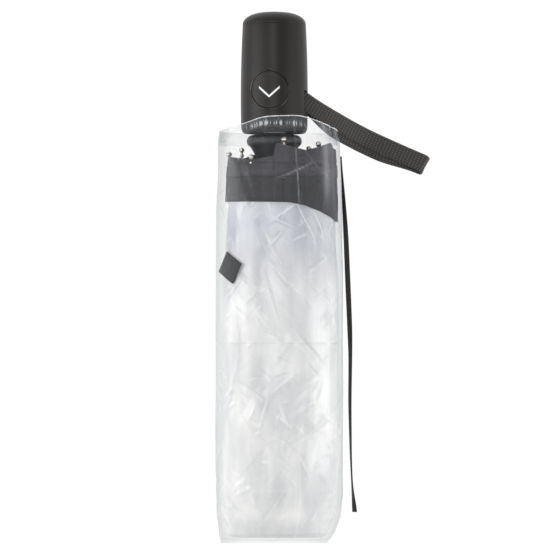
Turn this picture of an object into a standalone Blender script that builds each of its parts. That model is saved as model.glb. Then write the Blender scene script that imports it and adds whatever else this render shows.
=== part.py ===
"""Compact automatic umbrella, folded and lying in its clear pouch.

The shaft runs along Y with the handle at +Y.  The pouch lies on the plane z = 0.
All sizes are metres.
"""

import math

import bmesh
import bpy
from mathutils import Matrix, Vector

for old in list(bpy.data.objects):
    bpy.data.objects.remove(old, do_unlink=True)

# ---- driving sizes -------------------------------------------------------
GAP = 0.0003  # between pieces that touch

HANDLE_R = 0.0188  # fattest radius of the grip
POUCH_SLACK = 0.0035  # between the grip and the pouch, above it and below it
SHAFT_LIFT = 0.0001  # of the shaft's axis above the pouch's middle
SHAFT_Z = HANDLE_R + POUCH_SLACK + SHAFT_LIFT  # above the surface
HANDLE_TAPER = 0.0011  # how much slimmer the grip is at its end
HANDLE_WALL = 0.0022
HANDLE_MOUTH_Y = 0.0820
HANDLE_END_Y = 0.1498
CAP_LENGTH = 0.0070
CAP_FLAT_R = 0.0050

TUBE_WALL = 0.0005
LOWER_TUBE_R = 0.0060
MIDDLE_TUBE_R = 0.0052
UPPER_TUBE_R = 0.0044
LOWER_TUBE_Y = (-0.1160, 0.1340)
MIDDLE_TUBE_Y = (-0.1180, 0.0580)
CROWN_Y = (-0.1290, -0.1205)
UPPER_TUBE_END_Y = 0.0450

BUTTON_Y = 0.1055
BUTTON_TILT = math.radians(-9.0)
BUTTON_R = 0.0102
BUTTON_SEAT = 0.0110  # underside of the button from the shaft's axis
BUTTON_THROAT = 0.0070  # floor of the button well from the shaft's axis
BEZEL_WALL = 0.0009
LATCH_THICKNESS = 0.0010

STRAP_ANGLE = math.radians(-27.7)
PIN_INSET = 0.0064  # of the strap's pin from the grip's side
STRAP_PIN = Vector((HANDLE_R - PIN_INSET, 0.1035, SHAFT_Z))
STRAP_PIN_R = 0.0011
STRAP_WIDTH = 0.0100
STRAP_THICKNESS = 0.0013
STRAP_REACH = 0.0800

RIB_COUNT = 8
RIB_CROWN_R = 0.0098
RIB_WIDTH = 0.0024
RIB_HEIGHT = 0.0018
RIB_STEP = 0.0026  # from one rib layer to the next, outwards
KNEE_Y = 0.0060  # where inner rib and stretcher meet
ELBOW_Y = -0.1170  # where middle rib and outer rib meet
RIB_WIRE_R = 0.0010
TIP_BALL_R = 0.0017
TIP_Y = (0.0725, 0.0755, 0.0778, 0.0680, 0.0700, 0.0730, 0.0700, 0.0740)
TIP_ANGLE = (-4, 30, 82, 122, 178, 222, 268, 312)
TIP_CENTRE_X = 0.0015
TIP_SPREAD = (0.0268, 0.0168)

RUNNER_TOP_Y = 0.0812
RUNNER_FLANGE_R = 0.0155
RUNNER_FLANGE_THICKNESS = 0.0075
RUNNER_CONE_LENGTH = 0.0090
RUNNER_NECK_R = 0.0084
RUNNER_COLLAR_R = 0.0116
RUNNER_END_Y = 0.0500

CANOPY_CENTRE_X = 0.0032
CANOPY_HALF = (0.0318, 0.0205)  # half width, half height
CANOPY_WALL = 0.0012
CANOPY_END_Y = -0.1400
BORDER_Y = (0.0400, 0.0670)

POUCH_CENTRE_X = 0.0028
POUCH_HALF = (0.0366, HANDLE_R + POUCH_SLACK)
POUCH_CORNER_R = 0.0190
POUCH_WALL = 0.0005
POUCH_END_Y = -0.1502
HEM_LENGTH = 0.0048
HEM_FLARE = 0.95  # the hem's widest part, as a share of the pouch's width
HEM_CLEAR = 0.00034  # between the hem and the strap, which crosses beside it
HEM_WALL = 0.0009
BINDING_WIDTH = 0.0034
BINDING_THICKNESS = 0.0011
BINDING_Y = (-0.1307, 0.0680)

hem_side_x = POUCH_CENTRE_X + POUCH_HALF[0] * HEM_FLARE
strap_edge_y = (
    STRAP_PIN.y
    + (hem_side_x - STRAP_PIN.x) * math.tan(STRAP_ANGLE)
    - STRAP_WIDTH / 2 / math.cos(STRAP_ANGLE)
)
HEM_Y = strap_edge_y - HEM_CLEAR - HEM_LENGTH

# ---- collections and materials ------------------------------------------
parts = bpy.data.collections.new("clear_bubble_umbrella")
cutters = bpy.data.collections.new("cutters")
cutters.hide_render = True
for group in (parts, cutters):
    bpy.context.scene.collection.children.link(group)


def material(name, colour, roughness, metallic=0.0, alpha=1.0):
    made = bpy.data.materials.new(name)
    made.use_nodes = True
    shader = made.node_tree.nodes["Principled BSDF"]
    shader.inputs["Base Color"].default_value = (*colour, 1.0)
    shader.inputs["Roughness"].default_value = roughness
    shader.inputs["Metallic"].default_value = metallic
    shader.inputs["Alpha"].default_value = alpha
    return made


GRIP = material("grip_plastic", (0.022, 0.019, 0.018), 0.42)
BUTTON = material("button_plastic", (0.020, 0.018, 0.017), 0.36)
BLACK = material("black_nylon_moulding", (0.012, 0.012, 0.013), 0.40)
CHROME = material("chromed_steel", (0.80, 0.80, 0.82), 0.12, 1.0)
STEEL = material("steel_tube", (0.55, 0.55, 0.57), 0.25, 1.0)
RIB = material("rib_steel", (0.62, 0.62, 0.64), 0.30, 1.0)
WEBBING = material("nylon_webbing", (0.010, 0.010, 0.011), 0.75)
FABRIC = material("border_fabric", (0.035, 0.033, 0.036), 0.80)
FILM = material("canopy_film", (0.90, 0.92, 0.93), 0.15, 0.0, 0.35)
POUCH = material("pouch_film", (0.94, 0.95, 0.96), 0.10, 0.0, 0.2)


# ---- helpers ---------------------------------------------------------------
def link(name, data, where=parts, finish=None):
    made = bpy.data.objects.new(name, data)
    where.objects.link(made)
    if finish:
        data.materials.append(finish)
    if where is cutters:
        made.hide_render = True
        made.display_type = "WIRE"
    return made


def smooth(mesh, angle=35):
    mesh.shade_smooth()
    mesh.set_sharp_from_angle(angle=math.radians(angle))


ALONG_SHAFT = (math.radians(-90), 0.0, 0.0)  # turns local +Z to world +Y
ON_SHAFT = Vector((0.0, 0.0, SHAFT_Z))


def turned(name, profile, steps, finish=None, where=parts, rotation=ALONG_SHAFT, location=ON_SHAFT):
    """A profile of (radius, height) points, outer side from the top down, turned about Z."""
    mesh = bpy.data.meshes.new(name)
    outline = [(radius, 0.0, height) for radius, height in profile]
    is_ring = profile[0][0] > 0.0
    count = len(outline)
    edges = [(i, i + 1) for i in range(count - 1)] + ([(count - 1, 0)] if is_ring else [])
    mesh.from_pydata(outline, edges, [])
    made = link(name, mesh, where, finish)
    made.rotation_euler = rotation
    made.location = location
    screw = made.modifiers.new("turn", "SCREW")
    screw.steps = screw.render_steps = steps
    screw.use_merge_vertices = True
    screw.merge_threshold = 0.00001
    screw.use_smooth_shade = True
    return made


def tube_profile(outer, inner, low, high):
    return [(outer, high), (outer, low), (inner, low), (inner, high)]


def block(name, size, location, rotation=(0, 0, 0), finish=None, where=parts, bevel=0.0):
    mesh = bpy.data.meshes.new(name)
    shape = bmesh.new()
    bmesh.ops.create_cube(shape, size=1.0)
    bmesh.ops.scale(shape, vec=size, verts=shape.verts)
    shape.to_mesh(mesh)
    shape.free()
    made = link(name, mesh, where, finish)
    made.location = location
    made.rotation_euler = rotation
    if bevel:
        edge = made.modifiers.new("edge", "BEVEL")
        edge.width = bevel
        edge.segments = 1
    return made


def disc(name, radius, low, high, steps, rotation, location, where=cutters, finish=None):
    """A plain cylinder from low to high along its own Z."""
    mesh = bpy.data.meshes.new(name)
    shape = bmesh.new()
    bmesh.ops.create_cone(
        shape, cap_ends=True, segments=steps, radius1=radius, radius2=radius, depth=high - low
    )
    bmesh.ops.translate(shape, vec=(0, 0, (high + low) / 2), verts=shape.verts)
    shape.to_mesh(mesh)
    shape.free()
    made = link(name, mesh, where, finish)
    made.rotation_euler = rotation
    made.location = location
    return made


def boolean(target, tool, operation="DIFFERENCE"):
    change = target.modifiers.new(tool.name, "BOOLEAN")
    change.operation = operation
    change.object = tool


def flat_outline(name, loops, thickness, finish, location=(0, 0, 0), rotation=(0, 0, 0)):
    """A closed outline, and any holes in it, given half its thickness to each side."""
    curve = bpy.data.curves.new(name, "CURVE")
    curve.dimensions = "2D"
    curve.fill_mode = "BOTH"
    curve.extrude = thickness / 2
    for points in loops:
        line = curve.splines.new("POLY")
        line.points.add(len(points) - 1)
        line.use_cyclic_u = True
        for point, (x, y) in zip(line.points, points):
            point.co = (x, y, 0.0, 1.0)
    made = link(name, curve, parts, finish)
    made.location = location
    made.rotation_euler = rotation
    return made


def coil(name, radius, wire, low, high, turns, finish, rotation=ALONG_SHAFT, location=ON_SHAFT):
    curve = bpy.data.curves.new(name, "CURVE")
    curve.dimensions = "3D"
    curve.bevel_depth = wire
    curve.bevel_resolution = 0
    curve.use_fill_caps = True
    steps = 8
    line = curve.splines.new("POLY")
    line.points.add(turns * steps)
    for i, point in enumerate(line.points):
        angle = 2 * math.pi * i / steps
        height = low + (high - low) * i / (turns * steps)
        point.co = (radius * math.cos(angle), radius * math.sin(angle), height, 1.0)
    made = link(name, curve, parts, finish)
    made.rotation_euler = rotation
    made.location = location
    return made


# ---- grip -------------------------------------------------------------------
HANDLE_INNER_R = HANDLE_R - HANDLE_WALL
CAP_START_Y = HANDLE_END_Y - CAP_LENGTH


def grip_radius(y):
    """The grip is fattest a third of the way up and slims towards its end."""
    fattest = HANDLE_MOUTH_Y + (CAP_START_Y - HANDLE_MOUTH_Y) / 3
    reach = (y - fattest) / (CAP_START_Y - fattest)
    return HANDLE_R - HANDLE_TAPER * reach * reach


def grip_outline(inset):
    """(radius, height) points down the grip's outer side from its end cap to its mouth."""
    rows = 7
    span = CAP_START_Y - HANDLE_MOUTH_Y
    heights = [CAP_START_Y - span * i / (rows - 1) for i in range(rows)]
    return [(grip_radius(y) - inset, y) for y in heights]


mouth_round = 0.0008
outer = grip_outline(0.0)
shell_profile = outer[:-1] + [
    (outer[-1][0], HANDLE_MOUTH_Y + mouth_round),
    (outer[-1][0] - mouth_round, HANDLE_MOUTH_Y),
    (HANDLE_INNER_R, HANDLE_MOUTH_Y),
    (HANDLE_INNER_R, CAP_START_Y),
]
handle_shell = turned("handle_shell", shell_profile, 40, GRIP)

cap_side_r = grip_radius(CAP_START_Y)
cap_start = CAP_START_Y + GAP
cap_arc = [
    (
        CAP_FLAT_R + (cap_side_r - CAP_FLAT_R) * math.sin(step * math.pi / 10),
        cap_start + (HANDLE_END_Y - cap_start) * math.cos(step * math.pi / 10),
    )
    for step in range(6)
]
PLUG_LENGTH = 0.0030
PLUG_R = HANDLE_INNER_R - GAP
cap_profile = [(0.0, HANDLE_END_Y)] + cap_arc + [
    (PLUG_R, cap_start),
    (PLUG_R, cap_start - PLUG_LENGTH),
    (0.0, cap_start - PLUG_LENGTH),
]
turned("handle_end_cap", cap_profile, 40, GRIP)

CORE_R = HANDLE_INNER_R - GAP
CORE_Y = (HANDLE_MOUTH_Y + 0.0090, cap_start - PLUG_LENGTH - GAP)
BORE_R = LOWER_TUBE_R + GAP
tube_stop_y = LOWER_TUBE_Y[1] + GAP
core_profile = [
    (0.0, CORE_Y[1]),
    (CORE_R, CORE_Y[1]),
    (CORE_R, CORE_Y[0]),
    (BORE_R, CORE_Y[0]),
    (BORE_R, tube_stop_y),
    (0.0, tube_stop_y),
]
handle_core = turned("handle_core", core_profile, 32, BLACK)

# ---- push button, its rim, spring and latch ----------------------------------
BUTTON_TURN = (0.0, BUTTON_TILT, 0.0)
BUTTON_AT = Vector((0.0, BUTTON_Y, SHAFT_Z))
RIM_INNER_R = BUTTON_R + GAP
RIM_OUTER_R = RIM_INNER_R + BEZEL_WALL
PORT_R = RIM_OUTER_R + GAP
TAB_REACH = PORT_R + 0.0010
WELL_R = TAB_REACH + GAP
ABOVE = HANDLE_R + 0.0060


def along_button(height):
    return BUTTON_AT + Matrix.Rotation(BUTTON_TILT, 3, "Y") @ Vector((0, 0, height))


well = disc("well_cut", WELL_R, BUTTON_THROAT, ABOVE, 32, BUTTON_TURN, BUTTON_AT)
port = disc("port_cut", PORT_R, HANDLE_INNER_R / 2, ABOVE, 32, BUTTON_TURN, BUTTON_AT)
boolean(handle_core, well)
boolean(handle_shell, port)


def barrel(name, inset):
    """A solid just inside the grip's outer skin, to trim what lies flush with it."""
    profile = [(0.0, CAP_START_Y)] + grip_outline(inset) + [(0.0, HANDLE_MOUTH_Y)]
    return turned(name, profile, 40, None, cutters)


push_button = disc(
    "push_button", BUTTON_R, BUTTON_SEAT, ABOVE, 32, BUTTON_TURN, BUTTON_AT, parts, BUTTON
)
TAB_HEIGHT = 0.0012
tab = block(
    "tab_join",
    (0.0050, 2 * TAB_REACH, TAB_HEIGHT),
    along_button(BUTTON_SEAT + TAB_HEIGHT / 2),
    BUTTON_TURN,
    where=cutters,
)
boolean(push_button, barrel("button_trim", 0.0005), "INTERSECT")
boolean(push_button, tab, "UNION")

RIM_BASE = 0.0128
rim_profile = tube_profile(RIM_OUTER_R, RIM_INNER_R, RIM_BASE, ABOVE)
button_rim = turned("button_rim", rim_profile, 32, BUTTON, parts, BUTTON_TURN, BUTTON_AT)
boolean(button_rim, barrel("rim_trim", 0.0002), "INTERSECT")

latch_low = BUTTON_THROAT + GAP
SPRING_R = 0.0030
SPRING_WIRE = 0.0004
latch_plate = block(
    "latch_slider",
    (0.0090, 0.0170, LATCH_THICKNESS),
    along_button(latch_low + LATCH_THICKNESS / 2),
    BUTTON_TURN,
    finish=STEEL,
)
latch_hole = disc(
    "latch_hole_cut", SPRING_R + 0.0010, 0.0, BUTTON_SEAT, 16, BUTTON_TURN, BUTTON_AT
)
latch_slot = disc(
    "latch_slot_cut",
    SPRING_R + 0.0010,
    0.0,
    BUTTON_SEAT,
    16,
    BUTTON_TURN,
    BUTTON_AT + Vector((0, 0.0012, 0)),
)
boolean(latch_plate, latch_hole)
boolean(latch_plate, latch_slot)
coil(
    "button_spring",
    SPRING_R,
    SPRING_WIRE,
    BUTTON_THROAT + GAP + SPRING_WIRE,
    BUTTON_SEAT - GAP - SPRING_WIRE,
    3,
    STEEL,
    BUTTON_TURN,
    BUTTON_AT,
)

# ---- wrist strap and its pin --------------------------------------------------
LOOP_GAP = 0.0003
STRAP_PLAN = Matrix.Rotation(STRAP_ANGLE, 4, "Z")
eye_r = STRAP_PIN_R + LOOP_GAP + STRAP_THICKNESS / 2
fold_r = 0.0021
floor_clear = 0.0003


def strap_drop(along):
    """How far the strap's middle hangs below its pin: level at both ends, steep between."""
    settled = min(1.0, along / (0.70 * STRAP_REACH))
    fall = SHAFT_Z - floor_clear - fold_r - STRAP_THICKNESS / 2
    return fall * settled * settled * (3 - 2 * settled)


def strap_spread(along):
    """Half the distance between the middles of the two runs."""
    closed = STRAP_THICKNESS / 2 + LOOP_GAP
    near = max(0.0, 1 - along / 0.012)
    far = max(0.0, (along / STRAP_REACH - 0.75) / 0.25)
    return closed + (eye_r - closed) * near * near + (fold_r - closed) * far * far


def strap_loop(outward):
    """One side of the webbing's outline, in the upright plane through the pin."""
    rows = 22
    points = []
    for side in (1, -1):
        order = range(rows) if side == 1 else range(rows - 1, -1, -1)
        for i in order:
            along = STRAP_REACH * i / (rows - 1)
            height = -strap_drop(along) + side * (strap_spread(along) + outward)
            points.append((along, height))
        turn_r = (fold_r if side == 1 else eye_r) + outward
        centre = (STRAP_REACH, -strap_drop(STRAP_REACH)) if side == 1 else (0.0, 0.0)
        start = 90 if side == 1 else 270
        for step in range(1, 6):
            angle = math.radians(start - 30 * step)
            points.append((centre[0] + turn_r * math.cos(angle), centre[1] + turn_r * math.sin(angle)))
    return points


half = STRAP_THICKNESS / 2
wrist_strap = flat_outline(
    "wrist_strap", [strap_loop(half), strap_loop(-half)], STRAP_WIDTH, WEBBING
)
UPRIGHT = Matrix.Rotation(math.radians(90), 4, "X")
wrist_strap.matrix_world = Matrix.Translation(STRAP_PIN) @ STRAP_PLAN @ UPRIGHT

PIN_LENGTH = STRAP_WIDTH + 0.0020
strap_turn = (math.radians(-90), 0.0, STRAP_ANGLE)
disc(
    "strap_pin", STRAP_PIN_R, -PIN_LENGTH / 2, PIN_LENGTH / 2, 12, strap_turn, STRAP_PIN, parts, STEEL
)
slot_width = STRAP_WIDTH + 0.0016
slot_side = (0.0, 0.0, STRAP_ANGLE)
SLOT_DEPTH = 0.0240
slot_low = STRAP_PIN.z - 0.0045
slot_high = STRAP_PIN.z + 0.0105  # room for the strap to lift
slot_middle = STRAP_PIN + STRAP_PLAN @ Vector((0.0080, 0.0, 0.0))
slot_middle.z = (slot_low + slot_high) / 2
slot_cut = block(
    "slot_cut", (SLOT_DEPTH, slot_width, slot_high - slot_low), slot_middle, slot_side, where=cutters
)
pin_seat = disc(
    "pin_seat_cut", STRAP_PIN_R + GAP, -PIN_LENGTH / 2 - GAP, PIN_LENGTH / 2 + GAP, 12, strap_turn,
    STRAP_PIN,
)
boolean(handle_core, slot_cut)
boolean(handle_core, pin_seat)
boolean(handle_shell, slot_cut)

# ---- shaft: three tubes that run inside each other ------------------------------
for tube_name, tube_r, (low, high) in (
    ("lower_tube", LOWER_TUBE_R, LOWER_TUBE_Y),
    ("middle_tube", MIDDLE_TUBE_R, MIDDLE_TUBE_Y),
    ("upper_tube", UPPER_TUBE_R, (CROWN_Y[0] + 0.0030, UPPER_TUBE_END_Y)),
):
    turned(tube_name, tube_profile(tube_r, tube_r - TUBE_WALL, low, high), 24, STEEL)

MAIN_SPRING_R = UPPER_TUBE_R - TUBE_WALL - 0.0011
coil(
    "main_spring", MAIN_SPRING_R, 0.0006, CROWN_Y[0] + 0.0045, LOWER_TUBE_Y[1] - 0.0040, 14, STEEL
)

# ---- crown, top cap and runner ---------------------------------------------------
CROWN_R = RIB_CROWN_R + RIB_HEIGHT / 2 + 0.0008
crown_bore = UPPER_TUBE_R + GAP
crown = turned("crown", tube_profile(CROWN_R, crown_bore, *CROWN_Y), 32, BLACK)
RIB_TONGUE = 0.0035  # how far a rib reaches into its notch

ferrule_low = CANOPY_END_Y - 0.0035
turned(
    "top_cap",
    [
        (0.0, CROWN_Y[0] - GAP),
        (0.0100, CROWN_Y[0] - GAP),
        (0.0100, CROWN_Y[0] - 0.0030),
        (0.0085, ferrule_low + 0.0030),
        (0.0060, ferrule_low),
        (0.0, ferrule_low),
    ],
    24,
    CHROME,
)

flange_low = RUNNER_TOP_Y - RUNNER_FLANGE_THICKNESS
cone_low = flange_low - RUNNER_CONE_LENGTH
collar_high = RUNNER_END_Y + 0.0080
edge_r = RUNNER_FLANGE_THICKNESS / 2
flange_edge = [
    (
        RUNNER_FLANGE_R - edge_r + edge_r * math.cos(math.radians(turn)),
        flange_low + edge_r + edge_r * math.sin(math.radians(turn)),
    )
    for turn in (90, 60, 30, 0, -30, -60)
]
runner = turned(
    "runner",
    flange_edge
    + [
        (RUNNER_NECK_R, cone_low),
        (RUNNER_NECK_R, collar_high),
        (RUNNER_COLLAR_R, collar_high),
        (RUNNER_COLLAR_R, RUNNER_END_Y),
        (LOWER_TUBE_R + GAP, RUNNER_END_Y),
        (LOWER_TUBE_R + GAP, RUNNER_TOP_Y),
    ],
    32,
    BLACK,
)

# ---- ribs: inner rib, stretcher, middle rib and outer rib at each of eight places ------
notch = RIB_WIDTH + 2 * GAP
for i in range(RIB_COUNT // 2):
    turn = math.pi * i / (RIB_COUNT // 2)
    for hub, name, y, depth in (
        (crown, "crown_notch_cut", CROWN_Y[1], RIB_TONGUE),
        (runner, "runner_notch_cut", RUNNER_END_Y, RIB_TONGUE),
    ):
        ring = 2 * (RIB_CROWN_R + RIB_HEIGHT)
        cut = block(
            f"{name}_{i}", (ring, 2 * (depth + GAP), notch), ON_SHAFT + Vector((0, y, 0)),
            (0, -turn, 0), where=cutters,
        )
        boolean(hub, cut)
# the notches stop short of the hubs' own bores
for hub_name, hub, bore_r, y in (
    ("crown", crown, crown_bore, CROWN_Y[1]),
    ("runner", runner, LOWER_TUBE_R + GAP, RUNNER_END_Y),
):
    depth = RIB_TONGUE + 2 * GAP
    root = RIB_CROWN_R - RIB_HEIGHT / 2 - GAP
    low, high = (y - depth, y) if hub_name == "crown" else (y, y + depth)
    filler = turned(f"{hub_name}_root_join", tube_profile(root, bore_r, low, high), 32, None, cutters)
    boolean(hub, filler, "UNION")


def rib_direction(angle):
    return Vector((math.cos(angle), 0.0, math.sin(angle)))


def rib_bar(name, start, end, angle):
    """A straight flat bar from start to end, its width across the rib's own radius."""
    axis = end - start
    along = axis.normalized()
    out = (rib_direction(angle) - along * along.dot(rib_direction(angle))).normalized()
    across = out.cross(along)
    bar = block(name, (RIB_WIDTH, axis.length, RIB_HEIGHT), (0, 0, 0), finish=RIB)
    facing = Matrix((across, along, out)).transposed().to_4x4()
    bar.matrix_world = Matrix.Translation((start + end) / 2) @ facing
    return bar


def on_ring(angle, radius, y):
    return ON_SHAFT + rib_direction(angle) * radius + Vector((0, y, 0))


JOINT_GAP = 0.0012
for i in range(RIB_COUNT):
    angle = 2 * math.pi * i / RIB_COUNT
    rib_bar(
        f"inner_rib_{i + 1}",
        on_ring(angle, RIB_CROWN_R, CROWN_Y[1] - RIB_TONGUE),
        on_ring(angle, RIB_CROWN_R, KNEE_Y - JOINT_GAP),
        angle,
    )
    rib_bar(
        f"stretcher_{i + 1}",
        on_ring(angle, RIB_CROWN_R, KNEE_Y),
        on_ring(angle, RIB_CROWN_R, RUNNER_END_Y + RIB_TONGUE),
        angle,
    )
    rib_bar(
        f"middle_rib_{i + 1}",
        on_ring(angle, RIB_CROWN_R + RIB_STEP, ELBOW_Y),
        on_ring(angle, RIB_CROWN_R + RIB_STEP, KNEE_Y),
        angle,
    )
    tip_angle = math.radians(TIP_ANGLE[i])
    elbow = on_ring(angle, RIB_CROWN_R + 2 * RIB_STEP, ELBOW_Y)
    tip = Vector(
        (
            TIP_CENTRE_X + TIP_SPREAD[0] * math.cos(tip_angle),
            TIP_Y[i],
            SHAFT_Z + TIP_SPREAD[1] * math.sin(tip_angle),
        )
    )
    length = (tip - elbow).length
    ball = [
        (TIP_BALL_R * math.sin(math.radians(a)), length + TIP_BALL_R * math.cos(math.radians(a)))
        for a in (0, 40, 80, 120)
    ]
    outer_rib = turned(
        f"outer_rib_{i + 1}",
        ball
        + [
            (RIB_WIRE_R, length - TIP_BALL_R),
            (RIB_WIRE_R, 0.0),
            (0.0, 0.0),
        ],
        10,
        CHROME,
    )
    outer_rib.rotation_euler = (tip - elbow).to_track_quat("Z", "Y").to_euler()
    outer_rib.location = elbow

# ---- soft shells -------------------------------------------------------------------
SECTION_STEPS = 32


def rounded_section(half_width, half_height, corner):
    """Points round a rectangle with arc corners, anticlockwise from the right, seen from -Y."""
    corner = min(corner, half_width, half_height)
    points = []
    per_corner = SECTION_STEPS // 4
    for quarter in range(4):
        sx = 1 if quarter in (0, 3) else -1
        sz = 1 if quarter in (0, 1) else -1
        for step in range(per_corner):
            angle = math.radians(90 * quarter + 90 * step / (per_corner - 1))
            x = sx * (half_width - corner) + corner * math.cos(angle)
            z = sz * (half_height - corner) + corner * math.sin(angle)
            points.append((x, z))
    return points


def oval_section(half_width, half_height):
    angles = [2 * math.pi * k / SECTION_STEPS for k in range(SECTION_STEPS)]
    return [(half_width * math.cos(a), half_height * math.sin(a)) for a in angles]


def soft_shell(name, stations, wall, finish, closed_end=False):
    """A loft through (centre x, centre z, y, section) stations, given its wall inwards."""
    shape = bmesh.new()
    rings = []
    for centre_x, centre_z, y, section in stations:
        rings.append([shape.verts.new((centre_x + x, y, centre_z + z)) for x, z in section])
    for near, far in zip(rings, rings[1:]):
        for k in range(len(near)):
            after = (k + 1) % len(near)
            shape.faces.new((near[k], near[after], far[after], far[k]))
    if closed_end:
        shape.faces.new(rings[-1])
    bmesh.ops.recalc_face_normals(shape, faces=shape.faces)
    mesh = bpy.data.meshes.new(name)
    shape.to_mesh(mesh)
    shape.free()
    made = link(name, mesh, parts, finish)
    wall_change = made.modifiers.new("wall", "SOLIDIFY")
    wall_change.thickness = wall
    wall_change.offset = -1.0
    wall_change.use_even_offset = True
    smooth(mesh, 50)
    return made


half_x, half_z = CANOPY_HALF
canopy_rows = (
    (BORDER_Y[0] - GAP, 0.99, 0.99),
    (0.0100, 1.0, 1.0),
    (-0.0500, 1.0, 1.0),
    (-0.1000, 0.97, 0.97),
    (-0.1250, 0.88, 0.92),
    (-0.1330, 0.72, 0.80),
    (CANOPY_END_Y, 0.38, 0.56),
)
soft_shell(
    "canopy_film",
    [
        (CANOPY_CENTRE_X * wide, SHAFT_Z, y, oval_section(half_x * wide, half_z * tall))
        for y, wide, tall in canopy_rows
    ],
    CANOPY_WALL,
    FILM,
)
soft_shell(
    "canopy_border",
    [
        (CANOPY_CENTRE_X, SHAFT_Z, y, oval_section(half_x * wide, half_z * wide))
        for y, wide in ((BORDER_Y[1], 0.985), (0.058, 0.995), (0.048, 1.0), (BORDER_Y[0], 1.0))
    ],
    CANOPY_WALL,
    FABRIC,
)

pouch_x, pouch_z = POUCH_HALF
pouch_rows = (  # along the pouch, sideways shift, share of the width, share of the height
    (HEM_Y - GAP, 0.0, 0.94, 1.0),
    (0.0660, 0.0, 0.97, 1.0),
    (0.0200, 0.0, 1.0, 1.0),
    (-0.1000, 0.0, 1.0, 1.0),
    (-0.1300, 0.0, 0.99, 0.97),
    (-0.1440, -0.0010, 0.93, 0.80),
    (-0.1485, -0.0020, 0.86, 0.60),
    (POUCH_END_Y, -0.0030, 0.78, 0.40),
)
soft_shell(
    "sleeve_film",
    [
        (
            POUCH_CENTRE_X + shift,
            pouch_z * tall,
            y,
            rounded_section(pouch_x * wide, pouch_z * tall, POUCH_CORNER_R),
        )
        for y, shift, wide, tall in pouch_rows
    ],
    POUCH_WALL,
    POUCH,
    closed_end=True,
)
hem_rows = ((HEM_Y + HEM_LENGTH, 0.94), (HEM_Y + 0.6 * HEM_LENGTH, HEM_FLARE), (HEM_Y, 0.94))
soft_shell(
    "sleeve_hem",
    [
        (POUCH_CENTRE_X, pouch_z, y, rounded_section(pouch_x * wide, pouch_z, POUCH_CORNER_R))
        for y, wide in hem_rows
    ],
    HEM_WALL,
    POUCH,
)

# ---- seam binding down the pouch's right side ------------------------------------------
binding_rows = 14
seam_x = POUCH_CENTRE_X + pouch_x + GAP


def binding_width(share):
    """Narrow at both ends, full in the upper half."""
    return 0.0012 + (BINDING_WIDTH - 0.0012) * math.sin(math.pi * share**0.75) ** 2


inner_edge = []
outer_edge = []
for i in range(binding_rows):
    share = i / (binding_rows - 1)
    y = BINDING_Y[1] + (BINDING_Y[0] - BINDING_Y[1]) * share
    inner_edge.append((seam_x, y))
    outer_edge.append((seam_x + binding_width(share), y))
flat_outline(
    "sleeve_binding", [inner_edge + outer_edge[::-1]], BINDING_THICKNESS, WEBBING, (0, 0, SHAFT_Z)
)

# ---- closure strap and its dark tab ---------------------------------------------------
TAB_SIZE = 0.0110
TAB_SLOPE = math.radians(-37)
TAB_PLAN = math.radians(37)
TAB_THICKNESS = 0.0012
tab_centre = Vector((-0.0224, 0.0067, SHAFT_Z + 0.0134))
slope = Matrix.Rotation(TAB_SLOPE, 4, "Y") @ Matrix.Rotation(TAB_PLAN, 4, "Z")
closure_tab = block("closure_tab", (TAB_SIZE, 0.0125, TAB_THICKNESS), (0, 0, 0), finish=WEBBING)
closure_tab.matrix_world = Matrix.Translation(tab_centre) @ slope
STRAP_STUB = 0.0050
closure_strap = block("closure_strap", (0.0070, STRAP_STUB, 0.0006), (0, 0, 0), finish=POUCH)
stub_offset = Matrix.Translation((0.0024, (0.0125 + STRAP_STUB) / 2 + GAP, 0.0))
closure_strap.matrix_world = Matrix.Translation(tab_centre) @ slope @ stub_offset
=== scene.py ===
"""Compact automatic umbrella in its clear pouch, lying on a pale floor."""

import math

import bmesh
import bpy
import numpy as np
from mathutils import Matrix, Vector


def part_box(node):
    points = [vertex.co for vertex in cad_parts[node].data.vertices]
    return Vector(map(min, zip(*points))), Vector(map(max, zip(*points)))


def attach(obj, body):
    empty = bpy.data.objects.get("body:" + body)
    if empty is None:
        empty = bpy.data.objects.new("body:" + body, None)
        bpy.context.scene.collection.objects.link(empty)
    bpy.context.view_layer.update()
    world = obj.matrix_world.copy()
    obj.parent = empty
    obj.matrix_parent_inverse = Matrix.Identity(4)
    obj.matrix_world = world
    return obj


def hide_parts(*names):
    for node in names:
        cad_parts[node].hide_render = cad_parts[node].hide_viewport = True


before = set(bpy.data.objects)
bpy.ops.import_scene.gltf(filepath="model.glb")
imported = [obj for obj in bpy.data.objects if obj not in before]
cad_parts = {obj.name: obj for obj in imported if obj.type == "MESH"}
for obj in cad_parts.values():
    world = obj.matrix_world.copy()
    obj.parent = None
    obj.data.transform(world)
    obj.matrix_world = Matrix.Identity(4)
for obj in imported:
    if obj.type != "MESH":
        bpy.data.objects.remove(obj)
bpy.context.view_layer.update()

# Camera, lights and floor: a long lens straight above, a big soft box over the table, a tall
# narrow one at each side, white all round, and a table top that glows white.
VIEW_WIDTH = 0.3142
CAMERA_HEIGHT = 1.6
SENSOR = 36.0
scene = bpy.context.scene
middle_y = (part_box("handle_end_cap")[1].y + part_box("sleeve_film")[0].y) / 2
middle_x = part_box("sleeve_film")[0].x + 0.0370
shaft_z = sum(v.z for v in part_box("lower_tube")) / 2

lens = bpy.data.cameras.new("camera")
lens.sensor_width = SENSOR
lens.lens = SENSOR * (CAMERA_HEIGHT - shaft_z) / VIEW_WIDTH
camera = bpy.data.objects.new("camera", lens)
camera.location = (middle_x, middle_y, CAMERA_HEIGHT)
scene.collection.objects.link(camera)
scene.camera = camera
scene.view_settings.view_transform = "Standard"
scene.cycles.transparent_max_bounces = 40


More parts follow.
